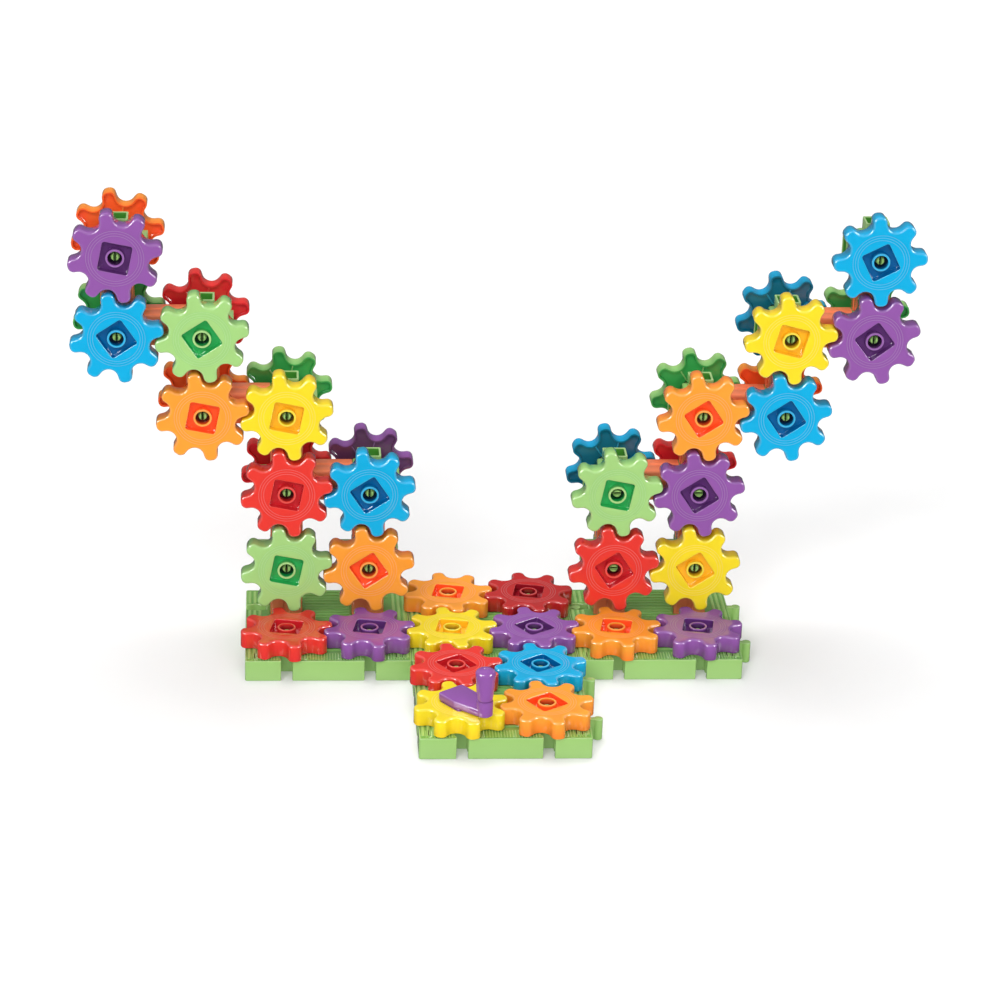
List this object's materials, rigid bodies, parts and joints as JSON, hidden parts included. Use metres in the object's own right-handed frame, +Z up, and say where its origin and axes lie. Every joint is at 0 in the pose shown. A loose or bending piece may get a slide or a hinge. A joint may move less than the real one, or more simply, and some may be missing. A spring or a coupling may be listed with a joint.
{
  "type": "crank gear toy",
  "caption": "Crank-driven gear building toy: interlocking base plates, two stepped towers of square pillars and arms, and meshing plastic gears turned by one crank.",
  "frame": {"origin": "middle of the underside of the centre base plate, where its ribs cross", "axes": "+Z up, +Y to the back, +X to the right when the crank faces the viewer"},
  "size_m": [0.5141, 0.2159, 0.2819],
  "materials": {
    "green_plastic": "moulded gloss",
    "coral_plastic": "moulded gloss",
    "cyan_plastic": "moulded gloss",
    "purple_plastic": "moulded gloss",
    "light_green_plastic": "moulded gloss",
    "orange_plastic": "moulded gloss",
    "yellow_plastic": "moulded gloss",
    "red_plastic": "moulded gloss",
    "dark_red_plastic": "moulded gloss"
  },
  "bodies": {
    "frame": {"base_plate_left": "green_plastic", "base_plate_centre": "green_plastic", "base_plate_right": "green_plastic", "base_plate_front": "green_plastic", "left_lower_connectors": "green_plastic", "left_upper_connectors": "green_plastic", "left_base_pillars": "coral_plastic", "left_upright_pillars": "coral_plastic", "left_cross_pillars": "coral_plastic", "right_lower_connectors": "green_plastic", "right_upper_connectors": "green_plastic", "right_base_pillars": "coral_plastic", "right_upright_pillars": "coral_plastic", "right_cross_pillars": "coral_plastic"},
    "crank": {"crank_gear": "yellow_plastic", "crank_arm": "purple_plastic"},
    "handle": {"crank_handle": "purple_plastic"},
    "flat_gear_a3": {"flat_gear_a3": "orange_plastic"},
    "flat_gear_a4": {"flat_gear_a4": "dark_red_plastic"},
    "flat_gear_b1": {"flat_gear_b1": "red_plastic"},
    "flat_gear_b2": {"flat_gear_b2": "purple_plastic"},
    "flat_gear_b3": {"flat_gear_b3": "yellow_plastic"},
    "flat_gear_b4": {"flat_gear_b4": "purple_plastic"},
    "flat_gear_b5": {"flat_gear_b5": "orange_plastic"},
    "flat_gear_b6": {"flat_gear_b6": "purple_plastic"},
    "flat_gear_c3": {"flat_gear_c3": "red_plastic"},
    "flat_gear_c4": {"flat_gear_c4": "cyan_plastic"},
    "flat_gear_d4": {"flat_gear_d4": "orange_plastic"},
    "left_front_gear_1_inner": {"left_front_gear_1_inner": "orange_plastic"},
    "left_front_gear_1_outer": {"left_front_gear_1_outer": "light_green_plastic"},
    "left_front_gear_2_inner": {"left_front_gear_2_inner": "cyan_plastic"},
    "left_front_gear_2_outer": {"left_front_gear_2_outer": "red_plastic"},
    "left_front_gear_3_inner": {"left_front_gear_3_inner": "yellow_plastic"},
    "left_front_gear_3_outer": {"left_front_gear_3_outer": "orange_plastic"},
    "left_front_gear_4_inner": {"left_front_gear_4_inner": "light_green_plastic"},
    "left_front_gear_4_outer": {"left_front_gear_4_outer": "cyan_plastic"},
    "left_front_gear_5_outer": {"left_front_gear_5_outer": "purple_plastic"},
    "left_back_gear_2_inner": {"left_back_gear_2_inner": "purple_plastic"},
    "left_back_gear_2_outer": {"left_back_gear_2_outer": "red_plastic"},
    "left_back_gear_3_inner": {"left_back_gear_3_inner": "light_green_plastic"},
    "left_back_gear_3_outer": {"left_back_gear_3_outer": "orange_plastic"},
    "left_back_gear_4_inner": {"left_back_gear_4_inner": "red_plastic"},
    "left_back_gear_4_outer": {"left_back_gear_4_outer": "light_green_plastic"},
    "left_back_gear_5_outer": {"left_back_gear_5_outer": "orange_plastic"},
    "right_front_gear_1_inner": {"right_front_gear_1_inner": "red_plastic"},
    "right_front_gear_1_outer": {"right_front_gear_1_outer": "yellow_plastic"},
    "right_front_gear_2_inner": {"right_front_gear_2_inner": "light_green_plastic"},
    "right_front_gear_2_outer": {"right_front_gear_2_outer": "purple_plastic"},
    "right_front_gear_3_inner": {"right_front_gear_3_inner": "orange_plastic"},
    "right_front_gear_3_outer": {"right_front_gear_3_outer": "cyan_plastic"},
    "right_front_gear_4_inner": {"right_front_gear_4_inner": "yellow_plastic"},
    "right_front_gear_4_outer": {"right_front_gear_4_outer": "purple_plastic"},
    "right_front_gear_5_outer": {"right_front_gear_5_outer": "cyan_plastic"},
    "right_back_gear_2_inner": {"right_back_gear_2_inner": "cyan_plastic"},
    "right_back_gear_2_outer": {"right_back_gear_2_outer": "red_plastic"},
    "right_back_gear_3_inner": {"right_back_gear_3_inner": "light_green_plastic"},
    "right_back_gear_3_outer": {"right_back_gear_3_outer": "orange_plastic"},
    "right_back_gear_4_inner": {"right_back_gear_4_inner": "cyan_plastic"},
    "right_back_gear_4_outer": {"right_back_gear_4_outer": "light_green_plastic"}
  },
  "joints": [
    {"name": "crank_spin", "type": "hinge", "parent": "frame", "child": "crank", "pos_m": [-0.0254, -0.127, -0.0006], "axis": [0, 0, 1], "continuous": true},
    {"name": "handle_spin", "type": "hinge", "parent": "crank", "child": "handle", "pos_m": [-0.01254, -0.14423, -0.0006], "axis": [0, 0, 1], "continuous": true},
    {"name": "flat_gear_a3_spin", "type": "hinge", "parent": "frame", "child": "flat_gear_a3", "pos_m": [-0.0254, 0.0254, -0.0006], "axis": [0, 0, 1], "continuous": true},
    {"name": "flat_gear_a4_spin", "type": "hinge", "parent": "frame", "child": "flat_gear_a4", "pos_m": [0.0254, 0.0254, -0.0006], "axis": [0, 0, 1], "continuous": true},
    {"name": "flat_gear_b1_spin", "type": "hinge", "parent": "frame", "child": "flat_gear_b1", "pos_m": [-0.127, -0.0254, -0.0006], "axis": [0, 0, 1], "continuous": true},
    {"name": "flat_gear_b2_spin", "type": "hinge", "parent": "frame", "child": "flat_gear_b2", "pos_m": [-0.0762, -0.0254, -0.0006], "axis": [0, 0, 1], "continuous": true},
    {"name": "flat_gear_b3_spin", "type": "hinge", "parent": "frame", "child": "flat_gear_b3", "pos_m": [-0.0254, -0.0254, -0.0006], "axis": [0, 0, 1], "continuous": true},
    {"name": "flat_gear_b4_spin", "type": "hinge", "parent": "frame", "child": "flat_gear_b4", "pos_m": [0.0254, -0.0254, -0.0006], "axis": [0, 0, 1], "continuous": true},
    {"name": "flat_gear_b5_spin", "type": "hinge", "parent": "frame", "child": "flat_gear_b5", "pos_m": [0.0762, -0.0254, -0.0006], "axis": [0, 0, 1], "continuous": true},
    {"name": "flat_gear_b6_spin", "type": "hinge", "parent": "frame", "child": "flat_gear_b6", "pos_m": [0.127, -0.0254, -0.0006], "axis": [0, 0, 1], "continuous": true},
    {"name": "flat_gear_c3_spin", "type": "hinge", "parent": "frame", "child": "flat_gear_c3", "pos_m": [-0.0254, -0.0762, -0.0006], "axis": [0, 0, 1], "continuous": true},
    {"name": "flat_gear_c4_spin", "type": "hinge", "parent": "frame", "child": "flat_gear_c4", "pos_m": [0.0254, -0.0762, -0.0006], "axis": [0, 0, 1], "continuous": true},
    {"name": "flat_gear_d4_spin", "type": "hinge", "parent": "frame", "child": "flat_gear_d4", "pos_m": [0.0254, -0.127, -0.0006], "axis": [0, 0, 1], "continuous": true},
    {"name": "left_front_gear_1_inner_spin", "type": "hinge", "parent": "frame", "child": "left_front_gear_1_inner", "pos_m": [-0.0762, 0.0254, 0.0502], "axis": [0, 1, 0], "continuous": true},
    {"name": "left_front_gear_1_outer_spin", "type": "hinge", "parent": "frame", "child": "left_front_gear_1_outer", "pos_m": [-0.127, 0.0254, 0.0502], "axis": [0, 1, 0], "continuous": true},
    {"name": "left_front_gear_2_inner_spin", "type": "hinge", "parent": "frame", "child": "left_front_gear_2_inner", "pos_m": [-0.0762, 0.0254, 0.101], "axis": [0, 1, 0], "continuous": true},
    {"name": "left_front_gear_2_outer_spin", "type": "hinge", "parent": "frame", "child": "left_front_gear_2_outer", "pos_m": [-0.127, 0.0254, 0.101], "axis": [0, 1, 0], "continuous": true},
    {"name": "left_front_gear_3_inner_spin", "type": "hinge", "parent": "frame", "child": "left_front_gear_3_inner", "pos_m": [-0.127, 0.0254, 0.1518], "axis": [0, 1, 0], "continuous": true},
    {"name": "left_front_gear_3_outer_spin", "type": "hinge", "parent": "frame", "child": "left_front_gear_3_outer", "pos_m": [-0.1778, 0.0254, 0.1518], "axis": [0, 1, 0], "continuous": true},
    {"name": "left_front_gear_4_inner_spin", "type": "hinge", "parent": "frame", "child": "left_front_gear_4_inner", "pos_m": [-0.1778, 0.0254, 0.2026], "axis": [0, 1, 0], "continuous": true},
    {"name": "left_front_gear_4_outer_spin", "type": "hinge", "parent": "frame", "child": "left_front_gear_4_outer", "pos_m": [-0.2286, 0.0254, 0.2026], "axis": [0, 1, 0], "continuous": true},
    {"name": "left_front_gear_5_outer_spin", "type": "hinge", "parent": "frame", "child": "left_front_gear_5_outer", "pos_m": [-0.2286, 0.0254, 0.2534], "axis": [0, 1, 0], "continuous": true},
    {"name": "left_back_gear_2_inner_spin", "type": "hinge", "parent": "frame", "child": "left_back_gear_2_inner", "pos_m": [-0.0762, 0.0254, 0.101], "axis": [0, 1, 0], "continuous": true},
    {"name": "left_back_gear_2_outer_spin", "type": "hinge", "parent": "frame", "child": "left_back_gear_2_outer", "pos_m": [-0.127, 0.0254, 0.101], "axis": [0, 1, 0], "continuous": true},
    {"name": "left_back_gear_3_inner_spin", "type": "hinge", "parent": "frame", "child": "left_back_gear_3_inner", "pos_m": [-0.127, 0.0254, 0.1518], "axis": [0, 1, 0], "continuous": true},
    {"name": "left_back_gear_3_outer_spin", "type": "hinge", "parent": "frame", "child": "left_back_gear_3_outer", "pos_m": [-0.1778, 0.0254, 0.1518], "axis": [0, 1, 0], "continuous": true},
    {"name": "left_back_gear_4_inner_spin", "type": "hinge", "parent": "frame", "child": "left_back_gear_4_inner", "pos_m": [-0.1778, 0.0254, 0.2026], "axis": [0, 1, 0], "continuous": true},
    {"name": "left_back_gear_4_outer_spin", "type": "hinge", "parent": "frame", "child": "left_back_gear_4_outer", "pos_m": [-0.2286, 0.0254, 0.2026], "axis": [0, 1, 0], "continuous": true},
    {"name": "left_back_gear_5_outer_spin", "type": "hinge", "parent": "frame", "child": "left_back_gear_5_outer", "pos_m": [-0.2286, 0.0254, 0.2534], "axis": [0, 1, 0], "continuous": true},
    {"name": "right_front_gear_1_inner_spin", "type": "hinge", "parent": "frame", "child": "right_front_gear_1_inner", "pos_m": [0.0762, 0.0254, 0.0502], "axis": [0, 1, 0], "continuous": true},
    {"name": "right_front_gear_1_outer_spin", "type": "hinge", "parent": "frame", "child": "right_front_gear_1_outer", "pos_m": [0.127, 0.0254, 0.0502], "axis": [0, 1, 0], "continuous": true},
    {"name": "right_front_gear_2_inner_spin", "type": "hinge", "parent": "frame", "child": "right_front_gear_2_inner", "pos_m": [0.0762, 0.0254, 0.101], "axis": [0, 1, 0], "continuous": true},
    {"name": "right_front_gear_2_outer_spin", "type": "hinge", "parent": "frame", "child": "right_front_gear_2_outer", "pos_m": [0.127, 0.0254, 0.101], "axis": [0, 1, 0], "continuous": true},
    {"name": "right_front_gear_3_inner_spin", "type": "hinge", "parent": "frame", "child": "right_front_gear_3_inner", "pos_m": [0.127, 0.0254, 0.1518], "axis": [0, 1, 0], "continuous": true},
    {"name": "right_front_gear_3_outer_spin", "type": "hinge", "parent": "frame", "child": "right_front_gear_3_outer", "pos_m": [0.1778, 0.0254, 0.1518], "axis": [0, 1, 0], "continuous": true},
    {"name": "right_front_gear_4_inner_spin", "type": "hinge", "parent": "frame", "child": "right_front_gear_4_inner", "pos_m": [0.1778, 0.0254, 0.2026], "axis": [0, 1, 0], "continuous": true},
    {"name": "right_front_gear_4_outer_spin", "type": "hinge", "parent": "frame", "child": "right_front_gear_4_outer", "pos_m": [0.2286, 0.0254, 0.2026], "axis": [0, 1, 0], "continuous": true},
    {"name": "right_front_gear_5_outer_spin", "type": "hinge", "parent": "frame", "child": "right_front_gear_5_outer", "pos_m": [0.2286, 0.0254, 0.2534], "axis": [0, 1, 0], "continuous": true},
    {"name": "right_back_gear_2_inner_spin", "type": "hinge", "parent": "frame", "child": "right_back_gear_2_inner", "pos_m": [0.0762, 0.0254, 0.101], "axis": [0, 1, 0], "continuous": true},
    {"name": "right_back_gear_2_outer_spin", "type": "hinge", "parent": "frame", "child": "right_back_gear_2_outer", "pos_m": [0.127, 0.0254, 0.101], "axis": [0, 1, 0], "continuous": true},
    {"name": "right_back_gear_3_inner_spin", "type": "hinge", "parent": "frame", "child": "right_back_gear_3_inner", "pos_m": [0.127, 0.0254, 0.1518], "axis": [0, 1, 0], "continuous": true},
    {"name": "right_back_gear_3_outer_spin", "type": "hinge", "parent": "frame", "child": "right_back_gear_3_outer", "pos_m": [0.1778, 0.0254, 0.1518], "axis": [0, 1, 0], "continuous": true},
    {"name": "right_back_gear_4_inner_spin", "type": "hinge", "parent": "frame", "child": "right_back_gear_4_inner", "pos_m": [0.1778, 0.0254, 0.2026], "axis": [0, 1, 0], "continuous": true},
    {"name": "right_back_gear_4_outer_spin", "type": "hinge", "parent": "frame", "child": "right_back_gear_4_outer", "pos_m": [0.2286, 0.0254, 0.2026], "axis": [0, 1, 0], "continuous": true}
  ],
  "couplings": [
    {"joint": "flat_gear_a3_spin", "follows": "crank_spin", "ratio": -1},
    {"joint": "flat_gear_a4_spin", "follows": "crank_spin", "ratio": 1},
    {"joint": "flat_gear_b1_spin", "follows": "crank_spin", "ratio": 1},
    {"joint": "flat_gear_b2_spin", "follows": "crank_spin", "ratio": -1},
    {"joint": "flat_gear_b3_spin", "follows": "crank_spin", "ratio": 1},
    {"joint": "flat_gear_b4_spin", "follows": "crank_spin", "ratio": -1},
    {"joint": "flat_gear_b5_spin", "follows": "crank_spin", "ratio": 1},
    {"joint": "flat_gear_b6_spin", "follows": "crank_spin", "ratio": -1},
    {"joint": "flat_gear_c3_spin", "follows": "crank_spin", "ratio": -1},
    {"joint": "flat_gear_c4_spin", "follows": "crank_spin", "ratio": 1},
    {"joint": "flat_gear_d4_spin", "follows": "crank_spin", "ratio": -1},
    {"joint": "left_front_gear_1_inner_spin", "follows": "crank_spin", "ratio": -1},
    {"joint": "left_front_gear_1_outer_spin", "follows": "crank_spin", "ratio": 1},
    {"joint": "left_front_gear_2_inner_spin", "follows": "crank_spin", "ratio": 1},
    {"joint": "left_front_gear_2_outer_spin", "follows": "crank_spin", "ratio": -1},
    {"joint": "left_front_gear_3_inner_spin", "follows": "crank_spin", "ratio": 1},
    {"joint": "left_front_gear_3_outer_spin", "follows": "crank_spin", "ratio": -1},
    {"joint": "left_front_gear_4_inner_spin", "follows": "crank_spin", "ratio": 1},
    {"joint": "left_front_gear_4_outer_spin", "follows": "crank_spin", "ratio": -1},
    {"joint": "left_front_gear_5_outer_spin", "follows": "crank_spin", "ratio": 1},
    {"joint": "left_back_gear_2_outer_spin", "follows": "left_back_gear_2_inner_spin", "ratio": -1},
    {"joint": "left_back_gear_3_inner_spin", "follows": "left_back_gear_2_inner_spin", "ratio": 1},
    {"joint": "left_back_gear_3_outer_spin", "follows": "left_back_gear_2_inner_spin", "ratio": -1},
    {"joint": "left_back_gear_4_inner_spin", "follows": "left_back_gear_2_inner_spin", "ratio": 1},
    {"joint": "left_back_gear_4_outer_spin", "follows": "left_back_gear_2_inner_spin", "ratio": -1},
    {"joint": "left_back_gear_5_outer_spin", "follows": "left_back_gear_2_inner_spin", "ratio": 1},
    {"joint": "right_front_gear_1_inner_spin", "follows": "crank_spin", "ratio": 1},
    {"joint": "right_front_gear_1_outer_spin", "follows": "crank_spin", "ratio": -1},
    {"joint": "right_front_gear_2_inner_spin", "follows": "crank_spin", "ratio": -1},
    {"joint": "right_front_gear_2_outer_spin", "follows": "crank_spin", "ratio": 1},
    {"joint": "right_front_gear_3_inner_spin", "follows": "crank_spin", "ratio": -1},
    {"joint": "right_front_gear_3_outer_spin", "follows": "crank_spin", "ratio": 1},
    {"joint": "right_front_gear_4_inner_spin", "follows": "crank_spin", "ratio": -1},
    {"joint": "right_front_gear_4_outer_spin", "follows": "crank_spin", "ratio": 1},
    {"joint": "right_front_gear_5_outer_spin", "follows": "crank_spin", "ratio": -1},
    {"joint": "right_back_gear_2_outer_spin", "follows": "right_back_gear_2_inner_spin", "ratio": -1},
    {"joint": "right_back_gear_3_inner_spin", "follows": "right_back_gear_2_inner_spin", "ratio": 1},
    {"joint": "right_back_gear_3_outer_spin", "follows": "right_back_gear_2_inner_spin", "ratio": -1},
    {"joint": "right_back_gear_4_inner_spin", "follows": "right_back_gear_2_inner_spin", "ratio": 1},
    {"joint": "right_back_gear_4_outer_spin", "follows": "right_back_gear_2_inner_spin", "ratio": -1}
  ]
}
